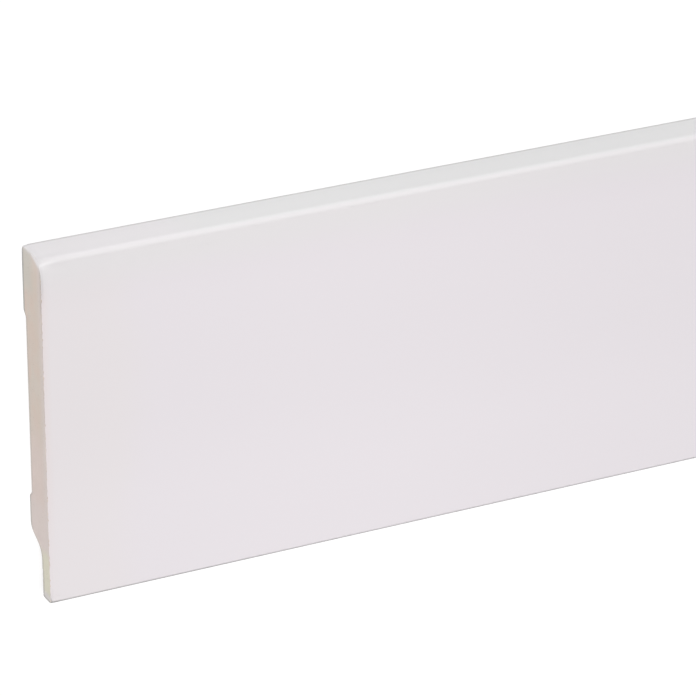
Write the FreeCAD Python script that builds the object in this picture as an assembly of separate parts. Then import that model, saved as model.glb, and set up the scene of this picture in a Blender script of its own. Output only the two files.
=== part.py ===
"""One length of skirting board: a straight fibreboard moulding with a square white face.

The board lies on its back. +X runs along the length, +Y points to the edge that is the top edge
once it is on a wall, and +Z points out of the front face. The origin is the centre of the back,
on the plane of the two lands that touch the wall.

The whole form is one section carried along the length. Its back is hollow between two lands, so
that it sits flat on an uneven wall, and behind its foot a rebate leaves room for a cable and for
the edge of the floor covering.
"""

import FreeCAD, Part
import math
import os

# Overall sizes, in millimetres
LENGTH = 2400.0
FACE_HEIGHT = 120.0
THICKNESS = 15.0

# Rebate behind the foot: a thin lip, a concave root, a slope and a rounded nose on the wall plane
LIP_THICKNESS = 6.3
REBATE_HEIGHT = 21.3
REBATE_SLOPE_DEG = 28.0
REBATE_ROOT_RADIUS = 6.0
REBATE_NOSE_RADIUS = 4.0

# Hollow back: a shallow relief between the two lands
LOWER_LAND_WIDTH = 11.2
UPPER_LAND_WIDTH = 22.5
RELIEF_DEPTH = 1.8
RELIEF_SHOULDER_DEG = 45.0
RELIEF_SHOULDER_RADIUS = 0.8

# Eased edges
TOP_FRONT_RADIUS = 2.0
TOP_BACK_RADIUS = 1.5
FOOT_FRONT_RADIUS = 1.0
FOOT_BACK_RADIUS = 0.8

# A rounding takes at most this share of the flat on either side of it
LARGEST_SHARE_OF_FLAT = 0.5


def section_corners():
    """The sharp corners of the section, each with its rounding radius.

    A corner is (height above the floor, distance from the wall, radius). The list goes round from
    the front of the foot, through the rebate, up the back and over the top edge.
    """
    rebate_depth = THICKNESS - LIP_THICKNESS
    slope_rise = rebate_depth * math.tan(math.radians(REBATE_SLOPE_DEG))
    shoulder_run = RELIEF_DEPTH / math.tan(math.radians(RELIEF_SHOULDER_DEG))
    relief_bottom = REBATE_HEIGHT + LOWER_LAND_WIDTH
    relief_top = FACE_HEIGHT - UPPER_LAND_WIDTH
    return [
        (0, THICKNESS, FOOT_FRONT_RADIUS),
        (0, rebate_depth, FOOT_BACK_RADIUS),
        (REBATE_HEIGHT - slope_rise, rebate_depth, REBATE_ROOT_RADIUS),
        (REBATE_HEIGHT, 0, REBATE_NOSE_RADIUS),
        (relief_bottom, 0, RELIEF_SHOULDER_RADIUS),
        (relief_bottom + shoulder_run, RELIEF_DEPTH, RELIEF_SHOULDER_RADIUS),
        (relief_top - shoulder_run, RELIEF_DEPTH, RELIEF_SHOULDER_RADIUS),
        (relief_top, 0, RELIEF_SHOULDER_RADIUS),
        (FACE_HEIGHT, 0, TOP_BACK_RADIUS),
        (FACE_HEIGHT, THICKNESS, TOP_FRONT_RADIUS),
    ]


def rounded_corner(before, corner, after, radius):
    """The arc that rounds a corner, as its start, its middle and its end."""
    to_before = before - corner
    to_after = after - corner
    flat = min(to_before.Length, to_after.Length) * LARGEST_SHARE_OF_FLAT
    to_before.normalize()
    to_after.normalize()
    half_angle = to_before.getAngle(to_after) / 2
    setback = min(radius / math.tan(half_angle), flat)
    fitted_radius = setback * math.tan(half_angle)
    inward = (to_before + to_after).normalize()
    centre = corner + inward * (setback / math.cos(half_angle))
    return corner + to_before * setback, centre - inward * fitted_radius, corner + to_after * setback


def section_wire(start_x):
    """The closed outline of the section, with its corners rounded, on the plane x = start_x."""
    corners = section_corners()
    points = [
        FreeCAD.Vector(start_x, height - FACE_HEIGHT / 2, from_wall)
        for height, from_wall, _ in corners
    ]
    arcs = []
    for index, (_, _, radius) in enumerate(corners):
        after = points[(index + 1) % len(points)]
        arcs.append(rounded_corner(points[index - 1], points[index], after, radius))
    edges = []
    for index, (start, middle, end) in enumerate(arcs):
        previous_end = arcs[index - 1][2]
        edges.append(Part.LineSegment(previous_end, start).toShape())
        edges.append(Part.Arc(start, middle, end).toShape())
    return Part.Wire(edges)


def skirting_board():
    """The section carried from the left end to the right end, both sawn square."""
    section = Part.Face(section_wire(-LENGTH / 2))
    return section.extrude(FreeCAD.Vector(LENGTH, 0, 0))


def main():
    os.makedirs("parts", exist_ok=True)
    skirting_board().exportStep("parts/skirting_board.step")


main()
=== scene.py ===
import math

import bpy
import numpy as np
from mathutils import Matrix, Vector


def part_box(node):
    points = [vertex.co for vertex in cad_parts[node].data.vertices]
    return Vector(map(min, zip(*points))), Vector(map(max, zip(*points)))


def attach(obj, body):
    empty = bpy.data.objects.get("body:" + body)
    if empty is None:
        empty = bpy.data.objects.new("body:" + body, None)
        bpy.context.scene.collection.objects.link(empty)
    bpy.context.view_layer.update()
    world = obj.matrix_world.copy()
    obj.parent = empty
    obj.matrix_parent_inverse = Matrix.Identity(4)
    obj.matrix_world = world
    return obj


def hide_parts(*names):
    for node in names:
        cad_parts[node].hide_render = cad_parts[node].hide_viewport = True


# A length of skirting board in white-faced fibreboard, lying on its back on a pale floor.
# +X runs along the board, +Y points to its top edge and +Z out of its face. Places in this frame
# are in metres, and the sizes of the board and its finishes in millimetres.

NODE = "skirting_board"
MM = 0.001

# The section, in millimetres, as height above the foot and distance from the wall
LIP_THICKNESS = 6.3
REBATE_HEIGHT = 21.3
REBATE_SLOPE = math.radians(28.0)
REBATE_ROOT_RADIUS = 6.0
REBATE_NOSE_RADIUS = 4.0
LOWER_LAND_WIDTH = 11.2
UPPER_LAND_WIDTH = 22.5
RELIEF_DEPTH = 1.8
RELIEF_SHOULDER = math.radians(45.0)
RELIEF_SHOULDER_RADIUS = 0.8
TOP_FRONT_RADIUS = 2.0
TOP_BACK_RADIUS = 1.5
FOOT_FRONT_RADIUS = 1.0
FOOT_BACK_RADIUS = 0.8

# How much a sanded arris turns faster in its middle than at its ends: 0 is an arc
SANDED = 0.5
CUT = 0.0

# The white film is wrapped from the back of the top edge, over the face and up behind the foot,
# with a hair's breadth of glue between its edges and the core
FILM_THICKNESS = 0.3
FILM_DOWN_THE_BACK = 7.0
FILM_UP_THE_REBATE = 10.0
GLUE_GAP = 0.02

# The film goes round the first corners of the section, as section_corners lists them
FILM_CORNERS = 4

# The saw chips the film's edge back from the sawn end, a little everywhere and more here and there
CHIP_DEPTH = 0.3
CHIP_RARITY = 5.0
CHIP_SEED = 11

# The height from which paint covers the film's cut edge and fills its chips
PAINTED_FROM = 114.0

# The corners of each end that are rubbed down, the top front one furthest. A row is the height and
# the distance from the wall of the corner, as shares of the section, then how far it is rubbed
# down, and how far that reaches across the section and along the board.
RUBBED_CORNERS = (
    (1.0, 1.0, 1.1, 3.0, 8.0),
    (1.0, 0.0, 0.45, 2.2, 3.0),
    (0.0, 1.0, 0.12, 1.6, 2.4),
)

# How finely the meshes are divided: the steps round a rounding and across the core, and the
# spacings down the film's flats, up the core, along the board and near its ends
ARC_STEPS = 12
STEPS_ACROSS = 6
FILM_STEP = 0.5
CORE_HEIGHT_STEP = 2.0
STATION_SPACING = 60.0
END_STATION_SPACING = 0.8

# Which of a piece's two materials a surface has
ON_SIDES = 0
ON_ENDS = 1

# How strong each finer level of detail in a noise is, as a share of the one before
NOISE_ROUGHNESS = 0.55

# Decimals to which heights in millimetres and points in metres count as the same
HEIGHT_DECIMALS = 3
POINT_DECIMALS = 8

# The photograph's camera, worked out beside the standing board, in metres: X to the right along
# the board from its left end, Y away from the viewer behind the face, Z up from the foot
CAMERA_PLACE = (-0.4597, -1.1456, 0.6562)
CAMERA_TURN = math.radians(63.717)
CAMERA_TILT = math.radians(24.691)
FOCAL_LENGTH_PX = 4348.9
PHOTO_WIDTH_PX = 696
SENSOR_MM = 36.0
NEAREST_SEEN = 0.1
FARTHEST_SEEN = 100.0

# Light: radiances of the sky and its horizon, the soft sun, and a floor that glows a little, with
# its side and how far it lies under the board in metres
SKY_RADIANCE = 0.17
HORIZON_RADIANCE = 1.0
HORIZON_TOP = math.sin(math.radians(3.0))
SKY_BOTTOM = math.sin(math.radians(12.0))
SUN_DIRECTION = (-0.217, 0.245, 0.945)
SUN_STRENGTH = 2.625
SUN_ANGLE = math.radians(20.0)
FLOOR_SIDE = 600.0
FLOOR_DROP = 0.00005
FLOOR_COLOUR = 0.2
FLOOR_GLOW = 0.85

# Colours, as linear red, green and blue
WHITE_FILM = (0.838, 0.793, 0.8265)
CREAM_FILM = (0.838, 0.793, 0.810)
WHITE_FILM_HIGH = (0.838, 0.812, 0.822)
WHITE_FILM_TOP = (0.822, 0.816, 0.819)
PINK_FILM_TOP = (0.842, 0.814, 0.831)
STAINED_FILM = (0.835, 0.760, 0.760)
WHITE_PAINT = (0.88, 0.845, 0.85)
# Dark grey: painted shade on the back arris, a patch at the foot's corners, the sawn ends' bottom
DARK_GREY = (0.35, 0.34, 0.335)
# The painted shade along the foot
FOOT_SHADE_COLOUR = (0.24, 0.235, 0.23)
WARM_FIBRE = (0.718, 0.607, 0.533)
GREEN_FIBRE = (0.705, 0.626, 0.558)
COOL_FIBRE = (0.738, 0.632, 0.587)
OLIVE_FIBRE = (0.739, 0.704, 0.585)
FACE_SIDE_FIBRE = (0.730, 0.652, 0.622)
GREY_FIBRE = (0.655, 0.620, 0.557)
LILAC_FIBRE = (0.738, 0.648, 0.614)
SCUFFED_FIBRE = (0.72, 0.69, 0.68)
BACK_SKIN = (0.50, 0.485, 0.455)
GREY_RIM = (0.46, 0.455, 0.44)
PLANED_FIBRE = (0.60, 0.52, 0.44)
BARK_SPECK = (0.30, 0.22, 0.16)
GLUE_LINE = (0.40, 0.34, 0.31)


# The solid's box: its corners and its length in metres, its section in millimetres
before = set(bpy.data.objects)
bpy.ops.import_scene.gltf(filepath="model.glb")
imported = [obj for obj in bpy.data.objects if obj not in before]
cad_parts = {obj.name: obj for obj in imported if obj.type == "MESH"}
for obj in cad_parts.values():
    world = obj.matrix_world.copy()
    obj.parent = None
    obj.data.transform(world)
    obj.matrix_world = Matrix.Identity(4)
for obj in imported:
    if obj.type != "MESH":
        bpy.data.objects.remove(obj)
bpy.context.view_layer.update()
LOWEST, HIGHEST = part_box(NODE)
LENGTH = HIGHEST.x - LOWEST.x
FACE_HEIGHT = (HIGHEST.y - LOWEST.y) / MM
THICKNESS = (HIGHEST.z - LOWEST.z) / MM


def section_corners():
    """The sharp corners of the section in millimetres, with the rounding of each.

    A row is height, distance from the wall, radius, sanding. The rows go from the back of the top
    edge down the face, under the foot and up the back, which is anticlockwise seen from +X.
    """
    rebate_depth = THICKNESS - LIP_THICKNESS
    slope_foot = REBATE_HEIGHT - rebate_depth * math.tan(REBATE_SLOPE)
    shoulder_run = RELIEF_DEPTH / math.tan(RELIEF_SHOULDER)
    relief_bottom = REBATE_HEIGHT + LOWER_LAND_WIDTH
    relief_top = FACE_HEIGHT - UPPER_LAND_WIDTH
    return np.array([
        (FACE_HEIGHT, 0.0, TOP_BACK_RADIUS, CUT),
        (FACE_HEIGHT, THICKNESS, TOP_FRONT_RADIUS, SANDED),
        (0.0, THICKNESS, FOOT_FRONT_RADIUS, CUT),
        (0.0, rebate_depth, FOOT_BACK_RADIUS, CUT),
        (slope_foot, rebate_depth, REBATE_ROOT_RADIUS, CUT),
        (REBATE_HEIGHT, 0.0, REBATE_NOSE_RADIUS, CUT),
        (relief_bottom, 0.0, RELIEF_SHOULDER_RADIUS, CUT),
        (relief_bottom + shoulder_run, RELIEF_DEPTH, RELIEF_SHOULDER_RADIUS, CUT),
        (relief_top - shoulder_run, RELIEF_DEPTH, RELIEF_SHOULDER_RADIUS, CUT),
        (relief_top, 0.0, RELIEF_SHOULDER_RADIUS, CUT),
    ])


def rounded_outline(corners, steps):
    """Points and outward normals round every corner, as two arrays of corner, step, (height, depth).

    A flat's outward normal is its direction turned clockwise. Round a corner the normal turns from
    one flat's to the next's by a share t - s sin(2 pi t) / (2 pi) of the whole turn, where t is the
    share of the way and s the sanding. The points are the running sum of equal steps along the
    normal turned back, scaled to start and end where an arc of the corner's radius does.
    """
    places, radii, sanding = corners[:, :2], corners[:, 2:3], corners[:, 3:4]
    after = np.roll(places, -1, axis=0) - places
    after /= np.linalg.norm(after, axis=1, keepdims=True)
    before = np.roll(after, 1, axis=0)
    cross = before[:, 0] * after[:, 1] - before[:, 1] * after[:, 0]
    turn = np.arctan2(cross, (before * after).sum(axis=1))[:, None]
    way = np.linspace(0.0, 1.0, steps + 1)
    share = way - sanding * np.sin(2 * np.pi * way) / (2 * np.pi)
    angle = np.arctan2(before[:, 1], before[:, 0])[:, None] + turn * share
    along = np.stack([np.cos(angle), np.sin(angle)], axis=-1)
    path = np.cumsum((along[:, 1:] + along[:, :-1]) / 2, axis=1)
    path = np.concatenate([np.zeros_like(path[:, :1]), path], axis=1)
    setback = radii * np.tan(np.abs(turn) / 2)
    span = np.linalg.norm((before + after) * setback, axis=1)
    scale = span / np.linalg.norm(path[:, -1], axis=1)
    points = (places - before * setback)[:, None] + path * scale[:, None, None]
    return points, np.stack([along[..., 1], -along[..., 0]], axis=-1)


def stepped(start, end, spacing):
    """Points from start to end, both left out, at equal steps no longer than the spacing."""
    count = max(int(math.ceil(np.linalg.norm(end - start) / spacing)), 1)
    shares = np.arange(1, count)[:, None] / count
    return start + (end - start) * shares


def film_outline(points, normals):
    """The outer line of the film and its normals, from the upper land round to the rebate."""
    land_end = np.array([FACE_HEIGHT - FILM_DOWN_THE_BACK, 0.0])
    rebate_end = np.array([FILM_UP_THE_REBATE, THICKNESS - LIP_THICKNESS])
    line, line_normals = [land_end[None]], [normals[0, :1]]
    for arc, arc_normals in zip(points[:FILM_CORNERS], normals[:FILM_CORNERS]):
        flat = stepped(line[-1][-1], arc[0], FILM_STEP)
        line += [flat, arc]
        line_normals += [np.repeat(arc_normals[:1], len(flat), axis=0), arc_normals]
    flat = stepped(line[-1][-1], rebate_end, FILM_STEP)
    line += [flat, rebate_end[None]]
    line_normals.append(np.repeat(normals[FILM_CORNERS - 1, -1:], len(flat) + 1, axis=0))
    return np.concatenate(line), np.concatenate(line_normals)


def stations():
    """The places along the length, in metres: evenly spaced, and closer together near the ends."""
    reach = max(length for _, _, _, _, length in RUBBED_CORNERS) * MM
    near_end = np.arange(0.0, reach, END_STATION_SPACING * MM)
    count = int(round(LENGTH / (STATION_SPACING * MM)))
    middle = np.linspace(LOWEST.x + reach, HIGHEST.x - reach, count + 1)
    return np.concatenate([LOWEST.x + near_end, middle, HIGHEST.x - near_end[::-1]])


def in_board_frame(x, section):
    """Section points, as height and distance from the wall in millimetres, set in the frame at x."""
    x, height, depth = np.broadcast_arrays(x, section[..., 0], section[..., 1])
    return np.stack([x, LOWEST.y + height * MM, LOWEST.z + depth * MM], axis=-1)


def grid_faces(rows, columns, closed=False):
    """The quads of a grid of points numbered row by row, with the last column joined if closed."""
    row = np.arange(rows - 1)[:, None]
    column = np.arange(columns if closed else columns - 1)[None]
    beside = (column + 1) % columns
    corners = [row * columns + column, row * columns + beside,
               (row + 1) * columns + beside, (row + 1) * columns + column]
    corners = [np.broadcast_to(corner, (rows - 1, column.size)) for corner in corners]
    return np.stack(corners, axis=-1).reshape(-1, 4)


def rubbed_down(points, normals, up, out, depth, width, length):
    """Points and normals after one corner of the section is rubbed down at each end.

    A point moves along the diagonal from the corner into the section by
    depth * (1 - x / length)^2 * exp(-(r / width)^2), where x is its distance from the nearer end, at
    most the length, and r its distance from the sharp corner. A normal loses the gradient of that
    move, times its own share along the diagonal, over one plus the gradient's share along it.
    """
    from_left = (points[:, :1] - LOWEST.x) / MM
    from_right = (HIGHEST.x - points[:, :1]) / MM
    near = 1 - np.minimum(np.minimum(from_left, from_right), length) / length
    corner = np.array([LOWEST.y, LOWEST.z]) + np.array([up * FACE_HEIGHT, out * THICKNESS]) * MM
    from_edge = (points[:, 1:] - corner) / MM
    wear = depth * np.exp(-(from_edge ** 2).sum(axis=1, keepdims=True) / width ** 2)
    move = wear * near ** 2
    inwards = np.sign(from_right - from_left)
    gradient = np.concatenate([
        -2 * inwards * wear * near / length, -2 * move * from_edge / width ** 2], axis=1)
    diagonal = np.array([0.0, 1 - 2 * up, 1 - 2 * out]) / math.sqrt(2)
    share = (normals @ diagonal) / (1 + gradient @ diagonal)
    turned = normals - gradient * share[:, None]
    turned /= np.linalg.norm(turned, axis=1, keepdims=True)
    return points + move * MM * diagonal, turned


def piece(name, patches):
    """One closed mesh from patches of (points, normals, quads, material number).

    Corners of different patches that lie in one place become one vertex. Every face corner gets
    its patch's own normal, so that a flat stays flat right up to a rounding. Then the corners of the
    ends are rubbed down.
    """
    points = np.concatenate([p.reshape(-1, 3) for p, _, _, _ in patches])
    normals = np.concatenate([n.reshape(-1, 3) for _, n, _, _ in patches])
    sizes = np.cumsum([0] + [p.size // 3 for p, _, _, _ in patches])
    quads = np.concatenate([q + start for (_, _, q, _), start in zip(patches, sizes)])
    rounded = np.round(points, POINT_DECIMALS)
    _, first, merged = np.unique(rounded, axis=0, return_index=True, return_inverse=True)
    for rubbing in RUBBED_CORNERS:
        points, normals = rubbed_down(points, normals, *rubbing)
    mesh = bpy.data.meshes.new(name)
    mesh.from_pydata(points[first], [], merged.reshape(-1)[quads])
    numbers = np.concatenate([np.full(len(q), number) for _, _, q, number in patches])
    mesh.polygons.foreach_set("material_index", numbers.astype(np.int32))
    mesh.polygons.foreach_set("use_smooth", np.ones(len(quads), bool))
    mesh.normals_split_custom_set(normals[quads.reshape(-1)])
    mesh.update()
    made = bpy.data.objects.new(name, mesh)
    bpy.context.scene.collection.objects.link(made)
    return made


def carried_along(x, section, section_normals, number):
    """The surface of a closed section line carried along x, a patch of station by section point."""
    points = in_board_frame(x, section[None])
    across = np.stack([np.zeros(len(section)), section_normals[:, 0], section_normals[:, 1]], axis=-1)
    normals = np.broadcast_to(across, points.shape)
    return points, normals, grid_faces(*points.shape[:2], closed=True), number


def end_cap(x, section_grid, sign, number):
    """The flat end of a section, a patch of the section's two parameters, facing along sign times X."""
    points = in_board_frame(x, section_grid)
    normals = np.zeros_like(points)
    normals[..., 0] = sign
    quads = grid_faces(*section_grid.shape[:2])
    return points, normals, quads if sign > 0 else quads[:, ::-1], number


def chipped(height, seed):
    """How far the film's edge is chipped back at points of these heights, in metres.

    It is the chip depth times an even random number raised to the rarity, so most chips are small.
    There are none where the paint has filled them.
    """
    depth = CHIP_DEPTH * MM * np.random.default_rng(seed).random(len(height)) ** CHIP_RARITY
    return np.where(height < PAINTED_FROM, depth, 0.0)


def make_film(outer, normals):
    """The white film: its outer line, and the same line set in by its thickness, carried along.

    The first and the last station are set inwards by the chips of either end.
    """
    inner = outer - normals * FILM_THICKNESS
    loop = np.concatenate([outer, inner[::-1]])
    loop_normals = np.concatenate([normals, -normals[::-1]])
    left, right = chipped(outer[:, 0], CHIP_SEED), -chipped(outer[:, 0], CHIP_SEED + 1)
    x = np.repeat(stations()[:, None], len(loop), axis=1)
    x[0] += np.concatenate([left, left[::-1]])
    x[-1] += np.concatenate([right, right[::-1]])
    strip = np.stack([outer, inner], axis=0)
    return piece("white_film", [
        carried_along(x, loop, loop_normals, ON_SIDES),
        end_cap(LOWEST.x + left, strip, -1, ON_ENDS),
        end_cap(HIGHEST.x + right, strip, 1, ON_ENDS),
    ])


def make_core(points, normals):
    """The fibreboard inside the film, bare on its ends and its back.

    Its face side and its back side are each a distance from the wall as a function of height. Both
    are read at the heights of either side's points, and the stretch between them is divided evenly,
    which gives the section as a grid of height by share of the way from the face to the back.
    """
    top_back, top_front, foot_front, foot_back = [
        points[i] - normals[i] * FILM_THICKNESS for i in range(FILM_CORNERS)]
    rebate_wall = THICKNESS - LIP_THICKNESS
    film_top = FACE_HEIGHT - FILM_DOWN_THE_BACK
    rebate_step = [
        (FILM_UP_THE_REBATE, rebate_wall + FILM_THICKNESS),
        (FILM_UP_THE_REBATE + GLUE_GAP, rebate_wall),
    ]
    land_step = [(film_top - GLUE_GAP, 0.0), (film_top, FILM_THICKNESS)]
    face = np.concatenate([foot_front[::-1], top_front[::-1]])
    bare_back = points[FILM_CORNERS:].reshape(-1, 2)
    back = np.concatenate([foot_back, rebate_step, bare_back, land_step, top_back])
    between = np.arange(CORE_HEIGHT_STEP, FACE_HEIGHT, CORE_HEIGHT_STEP)
    heights = np.concatenate([face[:, 0], back[:, 0], between])
    heights = np.unique(np.round(heights, HEIGHT_DECIMALS))
    sides = [np.interp(heights, side[:, 0], side[:, 1])[:, None] for side in (face, back)]
    share = np.linspace(0.0, 1.0, STEPS_ACROSS + 1)
    depths = sides[0] * (1 - share) + sides[1] * share
    grid = np.stack(np.broadcast_arrays(heights[:, None], depths), axis=-1)
    loop = np.concatenate([grid[-1, :0:-1], grid[:0:-1, 0], grid[0, :-1], grid[:-1, -1]])
    along = np.roll(loop, -1, axis=0) - loop
    along /= np.linalg.norm(along, axis=1, keepdims=True)
    flat_normals = np.stack([along[:, 1], -along[:, 0]], axis=1)
    core = piece("fibreboard_core", [
        carried_along(stations()[:, None], loop, flat_normals, ON_SIDES),
        end_cap(LOWEST.x, grid, -1, ON_ENDS),
        end_cap(HIGHEST.x, grid, 1, ON_ENDS),
    ])
    places = np.empty(len(core.data.vertices) * 3)
    core.data.vertices.foreach_get("co", places)
    height, depth = ((places.reshape(-1, 3)[:, 1:] - (LOWEST.y, LOWEST.z)) / MM).T
    from_back = core.data.attributes.new("from_back", "FLOAT", "POINT")
    from_back.data.foreach_set("value", depth - np.interp(height, heights, sides[1][:, 0]))
    return core


class Socket:
    """A node's output. Python's arithmetic on one that carries a number adds a Math node."""

    def __init__(self, nodes, output):
        self.nodes = nodes
        self.output = output

    def math(self, operation, first, second):
        return self.nodes.add("Math", {"operation": operation}, {0: first, 1: second})

    def __add__(self, other):
        return self.math("ADD", self, other)

    def __radd__(self, other):
        return self.math("ADD", other, self)

    def __sub__(self, other):
        return self.math("SUBTRACT", self, other)

    def __rsub__(self, other):
        return self.math("SUBTRACT", other, self)

    def __mul__(self, other):
        return self.math("MULTIPLY", self, other)

    def __rmul__(self, other):
        return self.math("MULTIPLY", other, self)


class Nodes:
    """The nodes of a material or a world."""

    def __init__(self, owner):
        owner.use_nodes = True
        self.tree = owner.node_tree

    def add(self, kind, settings, sockets, output=0):
        """A new node of a kind: its settings first, then the values or links of its sockets."""
        node = self.tree.nodes.new("ShaderNode" + kind)
        for name, value in settings.items():
            setattr(node, name, value)
        self.fill(node, sockets)
        return Socket(self, node.outputs[output])

    def fill(self, node, sockets):
        """Link each named or numbered input to a Socket, or set it to a plain value."""
        for key, value in sockets.items():
            if isinstance(value, Socket):
                self.tree.links.new(value.output, node.inputs[key])
            else:
                node.inputs[key].default_value = value

    def least(self, first, second):
        """The lesser of two values."""
        return self.add("Math", {"operation": "MINIMUM"}, {0: first, 1: second})

    def place(self, axis):
        """One of the three object coordinates, in millimetres from the board's lowest corner."""
        centred = self.add("Mapping", {}, {
            "Vector": self.add("TexCoord", {}, {}, "Object"),
            "Location": [-value / MM for value in LOWEST],
            "Scale": (1 / MM, 1 / MM, 1 / MM),
        })
        return self.add("SeparateXYZ", {}, {0: centred}, axis)

    def noise(self, size, detail, seed):
        """Noise about nought, at most about one either way, in patches of a size in millimetres."""
        stretched = self.add("Mapping", {}, {
            "Vector": self.add("TexCoord", {}, {}, "Object"),
            "Scale": [1 / (value * MM) for value in size],
        })
        grain = self.add("TexNoise", {"noise_dimensions": "4D"}, {
            "Vector": stretched, "W": seed, "Scale": 1.0, "Detail": detail,
            "Roughness": NOISE_ROUGHNESS})
        return grain * 2.0 - 1.0

    def rise(self, value, low, high):
        """0 where the value is under low, 1 where it is over high, and a smooth step between."""
        return self.add("MapRange", {"interpolation_type": "SMOOTHSTEP"}, {
            "Value": value, "From Min": low, "From Max": high})

    def fall(self, value, low, high):
        """1 where the value is under low, 0 where it is over high, and a smooth step between."""
        return 1.0 - self.rise(value, low, high)

    def wave(self, value, crest, length):
        """A cosine wave of a length, with a crest where the value is that of the crest."""
        return self.add("Math", {"operation": "COSINE"}, {0: (value - crest) * (2 * math.pi / length)})

    def mix(self, share, first, second):
        """The first colour, with a share of the second, by the Mix node's own colour sockets."""
        first, second = [c if isinstance(c, Socket) else (*c, 1.0) for c in (first, second)]
        return self.add("Mix", {"data_type": "RGBA"}, {0: share, 6: first, 7: second}, 2)

    def shade(self, colour, factor):
        """A colour made lighter or darker by a factor."""
        return self.add("VectorMath", {"operation": "SCALE"}, {0: colour, "Scale": factor})

    def bump(self, height, depth):
        """Surface relief from a height, whose step of one is a depth in millimetres."""
        return self.add("Bump", {}, {"Height": height, "Distance": depth * MM, "Strength": 1.0})


def finish(name, constants):
    """A new material with its shader's constant values, and its nodes and shader to go on with."""
    material = bpy.data.materials.new(name)
    nodes = Nodes(material)
    shader = nodes.tree.nodes["Principled BSDF"]
    nodes.fill(shader, constants)
    return material, nodes, shader


# From here to the camera, a pair of numbers is a fade, unless a comment says otherwise: the two
# places, in millimetres, between which a thing goes from none to full. A single number is a share
# of one, unless a comment says that it is a length, also in millimetres. A pattern is the size of a
# patch along X, Y and Z, in millimetres, its detail, which specks do without, and its seed.

FILM_CLOUDS = ((90.0, 45.0, 45.0), 2.0, 3.0)
ROLLER_LINES = ((160.0, 0.9, 0.9), 1.0, 5.0)
FINE_PEEL = ((1.8, 1.8, 1.8), 1.0, 7.0)
FAR_DRIFT = ((450.0, 160.0, 160.0), 1.0, 9.0)

# The film's tints: cream by the ends and whiter high on the face, with edges that wander by a
# length, pink by the ends of the top edge, and a stain right at the ends that grows with height.
# The whiter tint high on the face and the tints of the top edge are painted light: the colour of
# the light that falls on each side.
CREAM_AT_END = (22.0, 38.0)
CREAM_WANDERS = 12.0
HIGH_TINT = (103.0, 118.0)
HIGH_TINT_WANDERS = 6.0
TOP_EDGE = (119.2, 119.95)
PINK_AT_END = (42.0, 60.0)
HIGH_ON_FACE = (106.0, 114.0)
STAIN_AT_END = (0.3, 3.0)
STAIN_GROWS = (5.0, 50.0)
STAIN_LEAST = 0.2
STAIN_GAIN = 0.5


def film_tint(nodes, to_end, height, clouds):
    """The film's tint, by distance from the nearer end and by height."""
    white = nodes.rise(to_end + CREAM_WANDERS * clouds, *CREAM_AT_END)
    colour = nodes.mix(white, CREAM_FILM, WHITE_FILM)
    # Painted light: whiter high on the face, and pink then neutral tints on the top edge
    high = nodes.rise(height + HIGH_TINT_WANDERS * clouds, *HIGH_TINT)
    colour = nodes.mix(high, colour, WHITE_FILM_HIGH)
    top = nodes.mix(nodes.rise(to_end, *PINK_AT_END), PINK_FILM_TOP, WHITE_FILM_TOP)
    colour = nodes.mix(nodes.rise(height, *TOP_EDGE), colour, top)
    stain = nodes.fall(to_end, *STAIN_AT_END) * nodes.fall(height, *HIGH_ON_FACE)
    stain = stain * (STAIN_LEAST + STAIN_GAIN * nodes.rise(height, *STAIN_GROWS))
    return nodes.mix(stain, colour, STAINED_FILM)


# The film's tone: its level, and what the patterns and the places add to it or take off. The
# lighter top edge is painted light, and the darker lower and upper face is painted shade.
FILM_LEVEL = 1.008
CLOUD_TONE = 0.006
LINE_TONE = 0.002
DRIFT_TONE = 0.02
HIGH_END_SHADE = 0.02
LOWER_FACE = (25.0, 65.0)
LOWER_FACE_SHADE = 0.015
UPPER_FACE = (98.0, 118.0)
UPPER_FACE_SHADE = 0.02
TOP_LIGHT = 0.01
ACROSS_TOP = (2.0, 9.0)
ACROSS_TOP_LIGHT = 0.02

# Waves of tone along the first stretch of the board, beyond which the tone drifts unevenly. The
# top edge's wave is painted light, lightest near the end from which X runs. A wave is the place
# of a crest and the length from one crest to the next.
FIRST_STRETCH = (280.0, 430.0)
FACE_WAVE = (100.0, 300.0)
FACE_WAVE_TONE = 0.0135
TOP_WAVE = (-20.0, 400.0)
TOP_WAVE_TONE = 0.02


def film_tone(nodes, along, to_end, height, depth, clouds, lines):
    """How light the film is at a place, as a factor of its tint."""
    beyond = nodes.rise(along, *FIRST_STRETCH)
    drift = beyond * nodes.noise(*FAR_DRIFT)
    face_wave = (1.0 - beyond) * nodes.wave(along, *FACE_WAVE)
    top_wave = (1.0 - beyond) * nodes.wave(along, *TOP_WAVE)
    high_end = nodes.fall(to_end, *STAIN_AT_END) * nodes.rise(height, *HIGH_ON_FACE)
    tone = FILM_LEVEL + CLOUD_TONE * clouds + LINE_TONE * lines + FACE_WAVE_TONE * face_wave
    tone = tone + DRIFT_TONE * drift - HIGH_END_SHADE * high_end
    # Painted shade on the lower and upper face
    tone = tone - LOWER_FACE_SHADE * nodes.rise(height, *LOWER_FACE)
    tone = tone - UPPER_FACE_SHADE * nodes.rise(height, *UPPER_FACE)
    # Painted light on the top edge, with its wave
    top = TOP_LIGHT + ACROSS_TOP_LIGHT * nodes.rise(depth, *ACROSS_TOP) + TOP_WAVE_TONE * top_wave
    return tone + top * nodes.rise(height, *TOP_EDGE)


# Shade on the face side of the film: at the top front corner of each end, and on the arris of each
# end, where it is strong a little below the top, weaker at the top and back again at the foot
FACE_SIDE = (10.0, 12.5)
CORNER_AT_END = (2.0, 12.0)
CORNER_HEIGHT = (115.5, 118.0)
CORNER_SHADE = 0.04
ARRIS_AT_END = (0.3, 1.3)
ARRIS_HIGH = (103.0, 110.0)
ARRIS_WEAKENS = (112.0, 115.5)
ARRIS_WEAKENS_BY = 0.6
ARRIS_FOOT = (4.0, 7.0)
ARRIS_FOOT_SHARE = 0.45
ARRIS_SHADE = 0.12


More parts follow.
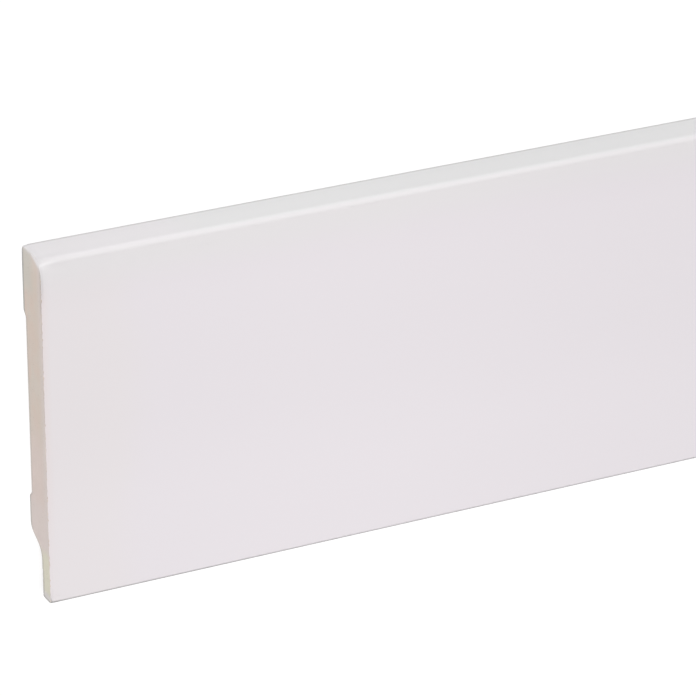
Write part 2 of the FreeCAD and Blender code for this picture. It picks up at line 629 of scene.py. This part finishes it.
def film_shade(nodes, to_end, height, depth):
    """How much darker the film is at the top front corners and down the arris of each end."""
    corner = nodes.fall(to_end, *CORNER_AT_END) * nodes.rise(height, *CORNER_HEIGHT)
    arris = nodes.rise(height, *ARRIS_HIGH) - ARRIS_WEAKENS_BY * nodes.rise(height, *ARRIS_WEAKENS)
    arris = arris + ARRIS_FOOT_SHARE * nodes.fall(height, *ARRIS_FOOT)
    arris = arris * nodes.fall(to_end, *ARRIS_AT_END)
    return (CORNER_SHADE * corner + ARRIS_SHADE * arris) * nodes.rise(depth, *FACE_SIDE)


# Marks on the film: a slanting grey patch at the foot's front corner, painted shade along the back
# arris of the top edge, and painted shade along the foot, most of it at the front. The foot's shade
# reaches a little less high away from the ends, by a length, and thins out further along. The
# patch's slant is a slope.
FOOT_CORNER_REACH = (0.75, 1.05)
FOOT_CORNER_SLANT = 0.32
FOOT_CORNER_SHARE = 0.55
BACK_SHADE_STARTS = (0.2, 0.8)
BACK_SHADE_STOPS = (0.7, 2.9)
BACK_SHADE_SHARE = 0.57
FOOT_SHADE_HEIGHT = (0.25, 1.3)
FOOT_SHADE_LOWERS = (1.0, 5.0)
FOOT_SHADE_LOWERS_BY = 0.15
FOOT_SHADE_FRONT = (12.8, 14.2)
FOOT_SHADE_LEAST = 0.15
FOOT_SHADE_FRONT_GAIN = 0.85
FOOT_SHADE_THINS = (50.0, 120.0)
FOOT_SHADE_THINS_BY = 0.17


def foot_shade(nodes, to_end, height, depth):
    """The share of painted shade along the foot."""
    raised = height + FOOT_SHADE_LOWERS_BY * nodes.rise(to_end, *FOOT_SHADE_LOWERS)
    front = FOOT_SHADE_LEAST + FOOT_SHADE_FRONT_GAIN * nodes.rise(depth, *FOOT_SHADE_FRONT)
    thinned = 1.0 - FOOT_SHADE_THINS_BY * nodes.rise(to_end, *FOOT_SHADE_THINS)
    return nodes.fall(raised, *FOOT_SHADE_HEIGHT) * front * thinned


# The film's gloss and relief. The peel's depth is a length.
FILM_SPECULAR = 0.5
FILM_ROUGHNESS = 0.44
CLOUD_ROUGHNESS = 0.03
FOOT_SHADE_ROUGHNESS = 0.2
LINES_IN_PEEL = 0.5
PEEL_DEPTH = 0.004


def white_film():
    """Satin white film: slow clouds, faint lines along the roller, and a fine peel.

    It has painted shade along the back of its top edge and along its foot, and is greyer at the
    foot's front corners.
    """
    material, nodes, shader = finish("white_film", {"Specular IOR Level": FILM_SPECULAR})
    along, height, depth = [nodes.place(axis) for axis in ("X", "Y", "Z")]
    to_end = nodes.least(along, LENGTH / MM - along)
    clouds = nodes.noise(*FILM_CLOUDS)
    lines = nodes.noise(*ROLLER_LINES)
    colour = film_tint(nodes, to_end, height, clouds)
    colour = nodes.shade(colour, film_tone(nodes, along, to_end, height, depth, clouds, lines))
    colour = nodes.shade(colour, 1.0 - film_shade(nodes, to_end, height, depth))
    # A slanting grey patch at the foot's front corner
    foot_corner = nodes.fall(to_end + FOOT_CORNER_SLANT * height, *FOOT_CORNER_REACH) * nodes.rise(depth, *FACE_SIDE)
    colour = nodes.mix(FOOT_CORNER_SHARE * foot_corner, colour, DARK_GREY)
    # Painted shade along the back arris of the top edge
    back_shade = nodes.rise(depth, *BACK_SHADE_STARTS) * nodes.fall(depth, *BACK_SHADE_STOPS)
    back_shade = back_shade * nodes.rise(height, *HIGH_ON_FACE)
    colour = nodes.mix(BACK_SHADE_SHARE * back_shade, colour, DARK_GREY)
    # Painted shade along the foot, most of it at the front
    foot_shaded = foot_shade(nodes, to_end, height, depth)
    nodes.fill(shader, {
        "Base Color": nodes.mix(foot_shaded, colour, FOOT_SHADE_COLOUR),
        "Roughness": FILM_ROUGHNESS + CLOUD_ROUGHNESS * clouds + FOOT_SHADE_ROUGHNESS * foot_shaded,
        "Normal": nodes.bump(nodes.noise(*FINE_PEEL) + LINES_IN_PEEL * lines, PEEL_DEPTH),
    })
    return material


# The cut edge of the film: the glue line under it, more of it higher up and in patches, the paint,
# which fades in over a length, the grey where it comes down the back, and the scuffed foot
GLUE_PATCHES = ((4.0, 12.0, 12.0), 3.0, 21.0)
GLUE_PATCH_SHARE = 0.4
GLUE_LEAST = 0.04
GLUE_GROWS = (0.0, 85.0)
GLUE_GAIN = 0.4
GLUE_STRONG = (98.0, 107.0)
GLUE_STRONG_GAIN = 0.5
PAINT_FADES_OVER = 3.5
EDGE_PAINT = (PAINTED_FROM, PAINTED_FROM + PAINT_FADES_OVER)
EDGE_GREY_HEIGHT = (100.0, 110.0)
EDGE_GREY_DEPTH = (0.3, 1.5)
EDGE_GREY_SHARE = 0.55
EDGE_SCUFF = (1.5, 3.5)
EDGE_SCUFF_SHARE = 0.95
EDGE_SPECULAR = 0.3
EDGE_ROUGHNESS = 0.65
PATCH_ROUGHNESS = 0.1


def film_edge():
    """The cut edge of the film on the sawn end, with the glue line showing dark in places.

    Near the top it is painted, and grey where it comes down the back. At the foot it is scuffed.
    """
    material, nodes, shader = finish("film_edge", {"Specular IOR Level": EDGE_SPECULAR})
    height, depth = nodes.place("Y"), nodes.place("Z")
    patches = nodes.noise(*GLUE_PATCHES)
    glue = GLUE_LEAST + GLUE_GAIN * nodes.rise(height, *GLUE_GROWS)
    glue = glue + GLUE_STRONG_GAIN * nodes.rise(height, *GLUE_STRONG) + GLUE_PATCH_SHARE * patches
    colour = nodes.mix(glue, STAINED_FILM, GLUE_LINE)
    colour = nodes.mix(nodes.rise(height, *EDGE_PAINT), colour, WHITE_PAINT)
    grey = nodes.rise(height, *EDGE_GREY_HEIGHT) * nodes.fall(depth, *EDGE_GREY_DEPTH)
    colour = nodes.mix(EDGE_GREY_SHARE * grey, colour, GREY_RIM)
    colour = nodes.mix(EDGE_SCUFF_SHARE * nodes.fall(height, *EDGE_SCUFF), colour, SCUFFED_FIBRE)
    nodes.fill(shader, {"Base Color": colour, "Roughness": EDGE_ROUGHNESS + PATCH_ROUGHNESS * patches})
    return material


# How far from its centre a speck of bark fades, as shares of the distance between specks
SPECK_FADE = (0.06, 0.12)


def specks(nodes, spacing, seed):
    """Small round dots of bark, about a dozen to a square centimetre: 1 on a dot, 0 elsewhere."""
    stretched = nodes.add("Mapping", {}, {
        "Vector": nodes.add("TexCoord", {}, {}, "Object"),
        "Location": (seed, seed, seed),
        "Scale": [1 / (value * MM) for value in spacing],
    })
    near = nodes.add("TexVoronoi", {}, {"Vector": stretched, "Scale": 1.0})
    return nodes.fall(near, *SPECK_FADE)


SAWN_TINT = ((10.0, 9.0, 5.0), 2.0, 31.0)
SAWN_LAYERS = ((10.0, 26.0, 0.7), 3.0, 33.0)
SAWN_FIBRES = ((0.5, 1.1, 0.16), 2.0, 35.0)
SAWN_SPECKS = ((1.0, 1.6, 1.1), 4.0)

# The tints of the sawn ends: warm and green in turns, between two values of the tint pattern, then
# cool, lilac and olive towards the foot, with edges that wander by a length, a paler strip along the
# face and a greyer patch at the back of the top
WARM_TO_GREEN = (-0.3, 0.3)
COOL_BELOW = (48.0, 64.0)
COOL_WANDERS = 8.0
LILAC_BELOW = (30.0, 36.0)
OLIVE_BELOW = (14.0, 20.0)
LOW_TINTS_WANDER = 4.0
FACE_STRIP = (0.5, 4.5)
FACE_STRIP_SHARE = 0.8
GREY_FROM_FACE = (5.0, 10.0)
GREY_FROM_TOP = (11.0, 17.0)
GREY_SHARE = 0.85


def sawn_tint(nodes, height, from_face, tint, grey):
    """The tint of the sawn ends, by height and by distance from the face."""
    colour = nodes.mix(nodes.rise(tint, *WARM_TO_GREEN), WARM_FIBRE, GREEN_FIBRE)
    colour = nodes.mix(nodes.rise(height + COOL_WANDERS * tint, *COOL_BELOW), COOL_FIBRE, colour)
    wandering = height + LOW_TINTS_WANDER * tint
    colour = nodes.mix(nodes.rise(wandering, *LILAC_BELOW), LILAC_FIBRE, colour)
    strip = FACE_STRIP_SHARE * nodes.fall(from_face, *FACE_STRIP)
    colour = nodes.mix(strip, colour, FACE_SIDE_FIBRE)
    colour = nodes.mix(nodes.rise(wandering, *OLIVE_BELOW), OLIVE_FIBRE, colour)
    return nodes.mix(GREY_SHARE * grey, colour, GREY_FIBRE)


# The dense dark skin at the back of the sawn ends, stronger higher up but weak at the very top, and
# a darker line along the face near the top, whose lower edge wanders by a length
SKIN_DEPTH = (0.7, 1.5)
SKIN_LEAST = 0.4
SKIN_GROWS = (60.0, 90.0)
SKIN_GAIN = 0.6
SKIN_WEAKENS = (112.0, 119.0)
SKIN_WEAKENS_BY = 0.6
FACE_LINE_HEIGHT = (99.0, 104.0)
FACE_LINE_WANDERS = 2.0
FACE_LINE_FROM_FACE = (0.7, 1.8)
FACE_LINE_DARKENS = 0.1
LAYER_TONE = 0.03
FIBRE_TONE = 0.03
SAWN_SPECK_SHARE = 0.45

# Paint on the sawn ends: a haze below the top arris, thinner over the grey patch, and a run over
# the arris. The run is shorter away from the face, by a slope and at most by a length, and its edge
# follows the layers by a length. A thin strip of it goes further down along the face.
HAZE_SHARE = 0.18
HAZE_LOSS_OVER_GREY = 0.08
HAZE_FROM_TOP = (1.0, 8.0)
RUN_FROM_TOP = (2.6, 4.6)
RUN_SLANT = 0.38
RUN_SHORTENS_BY = 2.9
RUN_FOLLOWS_LAYERS = 0.5
STRIP_FROM_FACE = (0.6, 1.2)
STRIP_FROM_TOP = (3.0, 4.5)
STRIP_SHARE = 0.6


def paint_run(nodes, from_top, from_face, layers):
    """The share of paint that has run over the top arris of the sawn ends."""
    reach = from_top + nodes.least(RUN_SLANT * from_face, RUN_SHORTENS_BY)
    bare = nodes.rise(reach + RUN_FOLLOWS_LAYERS * layers, *RUN_FROM_TOP)
    strip = nodes.fall(from_face, *STRIP_FROM_FACE) * nodes.fall(from_top, *STRIP_FROM_TOP)
    return 1.0 - bare * (1.0 - STRIP_SHARE * strip)


# The greyed rim along the back of the sawn ends: its share in the middle, what it gains higher up,
# loses at the top and gains at the foot, and how wide it is
RIM_SHARE = 0.42
RIM_GROWS = (104.0, 109.0)
RIM_GAIN = 0.5
RIM_WEAKENS = (112.0, 115.0)
RIM_WEAKENS_BY = 0.25
RIM_FOOT = (10.0, 20.0)
RIM_FOOT_GAIN = 0.15
RIM_WIDTH = (0.6, 1.5)


def back_rim(nodes, height, from_back):
    """The share of grey along the back outline of the sawn ends."""
    rim = RIM_SHARE + RIM_GAIN * nodes.rise(height, *RIM_GROWS)
    rim = rim - RIM_WEAKENS_BY * nodes.rise(height, *RIM_WEAKENS)
    rim = rim + RIM_FOOT_GAIN * nodes.fall(height, *RIM_FOOT)
    return rim * nodes.fall(from_back, *RIM_WIDTH)


# The foot of the sawn ends, scuffed, and darker right at the bottom, and the ends' gloss and their
# relief, whose depth is a length
FOOT_SCUFF = (1.5, 3.7)
FOOT_SCUFF_SHARE = 0.9
FOOT_DARK = (0.3, 1.1)
FOOT_DARK_SHARE = 0.7
SAWN_SPECULAR = 0.15
SAWN_ROUGHNESS = 0.9
PAINT_SMOOTHS = 0.35
LAYERS_IN_RELIEF = 0.6
SAWN_RELIEF = 0.05


def sawn_fibreboard():
    """The sawn ends: fibres lying in the board's plane, denser skins, bark specks and saw marks.

    The tint changes slowly with height. Paint has run over the top arris, further at the front, and
    the foot is scuffed and darker right at the bottom.
    """
    material, nodes, shader = finish("sawn_fibreboard", {"Specular IOR Level": SAWN_SPECULAR})
    height, depth = nodes.place("Y"), nodes.place("Z")
    from_top, from_face = FACE_HEIGHT - height, THICKNESS - depth
    from_back = nodes.add("Attribute", {"attribute_name": "from_back"}, {}, "Fac")
    tint, layers, fibres = [nodes.noise(*pattern) for pattern in (SAWN_TINT, SAWN_LAYERS, SAWN_FIBRES)]
    grey = nodes.rise(from_face, *GREY_FROM_FACE) * nodes.fall(from_top, *GREY_FROM_TOP)
    colour = sawn_tint(nodes, height, from_face, tint, grey)
    skin = SKIN_LEAST + SKIN_GAIN * nodes.rise(height, *SKIN_GROWS)
    skin = skin * (1.0 - SKIN_WEAKENS_BY * nodes.rise(height, *SKIN_WEAKENS))
    colour = nodes.mix(skin * nodes.fall(depth, *SKIN_DEPTH), colour, BACK_SKIN)
    face_line = nodes.rise(height + FACE_LINE_WANDERS * tint, *FACE_LINE_HEIGHT)
    face_line = face_line * nodes.fall(from_face, *FACE_LINE_FROM_FACE)
    tone = 1.0 + LAYER_TONE * layers + FIBRE_TONE * fibres - FACE_LINE_DARKENS * face_line
    colour = nodes.shade(colour, tone)
    colour = nodes.mix(SAWN_SPECK_SHARE * specks(nodes, *SAWN_SPECKS), colour, BARK_SPECK)
    haze = (HAZE_SHARE - HAZE_LOSS_OVER_GREY * grey) * nodes.fall(from_top, *HAZE_FROM_TOP)
    colour = nodes.mix(haze, colour, WHITE_PAINT)
    colour = nodes.mix(FOOT_SCUFF_SHARE * nodes.fall(height, *FOOT_SCUFF), colour, SCUFFED_FIBRE)
    painted = paint_run(nodes, from_top, from_face, layers)
    colour = nodes.mix(painted, colour, WHITE_PAINT)
    colour = nodes.mix(back_rim(nodes, height, from_back), colour, GREY_RIM)
    # Darker right at the bottom of the sawn ends
    colour = nodes.mix(FOOT_DARK_SHARE * nodes.fall(height, *FOOT_DARK), colour, DARK_GREY)
    nodes.fill(shader, {
        "Base Color": colour,
        "Roughness": SAWN_ROUGHNESS - PAINT_SMOOTHS * painted,
        "Normal": nodes.bump(fibres + LAYERS_IN_RELIEF * layers, SAWN_RELIEF),
    })
    return material


PLANED_FLECKS = ((1.4, 0.35, 0.35), 3.0, 41.0)
PLANED_CLOUDS = ((60.0, 25.0, 25.0), 2.0, 43.0)
PLANED_SPECKS = ((1.7, 1.2, 1.2), 8.0)

# The planed back: its lands, which are smoother and darker, what its patterns do to its colour, its
# cutter ripples, and its gloss and its relief, whose depth is a length
LAND_DEPTH = (0.05, 0.5)
LAND_SHADE = 0.14
FLECK_TONE = 0.05
BACK_CLOUD_TONE = 0.03
WARM_SHARE = 0.5
PLANED_SPECK_SHARE = 0.5
RIPPLES = {"Scale": 200.0, "Distortion": 0.6}
PLANED_SPECULAR = 0.2
PLANED_ROUGHNESS = 0.85
LAND_SMOOTHS = 0.2
FLECKS_IN_RELIEF = 0.6
LAND_FLATTENS = 0.7
PLANED_RELIEF = 0.03


def planed_fibreboard():
    """The back: cutter ripples across the length, fibre flecks, and smoother, denser lands."""
    material, nodes, shader = finish("planed_fibreboard", {"Specular IOR Level": PLANED_SPECULAR})
    flecks = nodes.noise(*PLANED_FLECKS)
    clouds = nodes.noise(*PLANED_CLOUDS)
    ripple = nodes.add("TexWave", {"bands_direction": "X"}, RIPPLES)
    land = nodes.fall(nodes.place("Z"), *LAND_DEPTH)
    colour = nodes.mix(WARM_SHARE + WARM_SHARE * clouds, PLANED_FIBRE, WARM_FIBRE)
    tone = 1.0 + FLECK_TONE * flecks + BACK_CLOUD_TONE * clouds - LAND_SHADE * land
    colour = nodes.shade(colour, tone)
    relief = FLECKS_IN_RELIEF * flecks + (1.0 - LAND_FLATTENS * land) * ripple
    nodes.fill(shader, {
        "Base Color": nodes.mix(PLANED_SPECK_SHARE * specks(nodes, *PLANED_SPECKS), colour, BARK_SPECK),
        "Roughness": PLANED_ROUGHNESS - LAND_SMOOTHS * land,
        "Normal": nodes.bump(relief, PLANED_RELIEF),
    })
    return material


def laid_down(vector):
    """A direction or place beside the standing board, turned to the board on its back."""
    x, y, z = vector
    return Vector((x, z, -y))


def make_camera():
    """The photograph's camera, laid down with the board."""
    level = Vector((math.cos(CAMERA_TURN), math.sin(CAMERA_TURN), 0.0))
    up = Vector((0.0, 0.0, 1.0))
    forward = level * math.cos(CAMERA_TILT) - up * math.sin(CAMERA_TILT)
    upward = up * math.cos(CAMERA_TILT) + level * math.sin(CAMERA_TILT)
    right = forward.cross(upward)
    camera = bpy.data.objects.new("camera", bpy.data.cameras.new("camera"))
    bpy.context.scene.collection.objects.link(camera)
    turned = Matrix([laid_down(right), laid_down(upward), -laid_down(forward)]).transposed()
    corner = Vector((LOWEST.x, LOWEST.y, HIGHEST.z))
    camera.matrix_world = Matrix.Translation(corner + laid_down(CAMERA_PLACE)) @ turned.to_4x4()
    camera.data.sensor_width = SENSOR_MM
    camera.data.lens = FOCAL_LENGTH_PX / PHOTO_WIDTH_PX * SENSOR_MM
    camera.data.clip_start = NEAREST_SEEN
    camera.data.clip_end = FARTHEST_SEEN
    bpy.context.scene.camera = camera


def make_floor():
    """A pale floor, just under the board, that glows enough to stay white under it."""
    half = FLOOR_SIDE / 2
    corners = [(-half, -half), (half, -half), (half, half), (-half, half)]
    mesh = bpy.data.meshes.new("floor")
    mesh.from_pydata([(x, y, LOWEST.z - FLOOR_DROP) for x, y in corners], [], [(0, 1, 2, 3)])
    floor = bpy.data.objects.new("floor", mesh)
    bpy.context.scene.collection.objects.link(floor)
    material, _, _ = finish("pale_floor", {
        "Base Color": (FLOOR_COLOUR, FLOOR_COLOUR, FLOOR_COLOUR, 1.0),
        "Roughness": 1.0,
        "Specular IOR Level": 0.0,
        "Emission Color": (1.0, 1.0, 1.0, 1.0),
        "Emission Strength": FLOOR_GLOW,
    })
    mesh.materials.append(material)


def make_light():
    """A dim sky with a white horizon, and a broad soft sun from the board's top left."""
    world = bpy.data.worlds.new("sky")
    bpy.context.scene.world = world
    nodes = Nodes(world)
    upward = nodes.add("SeparateXYZ", {}, {0: nodes.add("TexCoord", {}, {}, "Generated")}, "Z")
    above = nodes.rise(upward, HORIZON_TOP, SKY_BOTTOM)
    nodes.fill(nodes.tree.nodes["Background"], {
        "Color": (1.0, 1.0, 1.0, 1.0),
        "Strength": HORIZON_RADIANCE - (HORIZON_RADIANCE - SKY_RADIANCE) * above,
    })
    sun = bpy.data.objects.new("sun", bpy.data.lights.new("sun", "SUN"))
    bpy.context.scene.collection.objects.link(sun)
    sun.rotation_mode = "QUATERNION"
    sun.rotation_quaternion = Vector(SUN_DIRECTION).to_track_quat("Z", "Y")
    sun.data.energy = SUN_STRENGTH
    sun.data.angle = SUN_ANGLE


def main():
    points, normals = rounded_outline(section_corners(), ARC_STEPS)
    film = make_film(*film_outline(points, normals))
    core = make_core(points, normals)
    for made, slot, materials in (
            (film, "white_face", (white_film(), film_edge())),
            (core, "bare_fibreboard", (planed_fibreboard(), sawn_fibreboard()))):
        for material in materials:
            made.data.materials.append(material)
        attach(made, "root")
        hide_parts(NODE)
    make_floor()
    make_light()
    make_camera()
    bpy.context.scene.view_settings.view_transform = "Standard"


main()
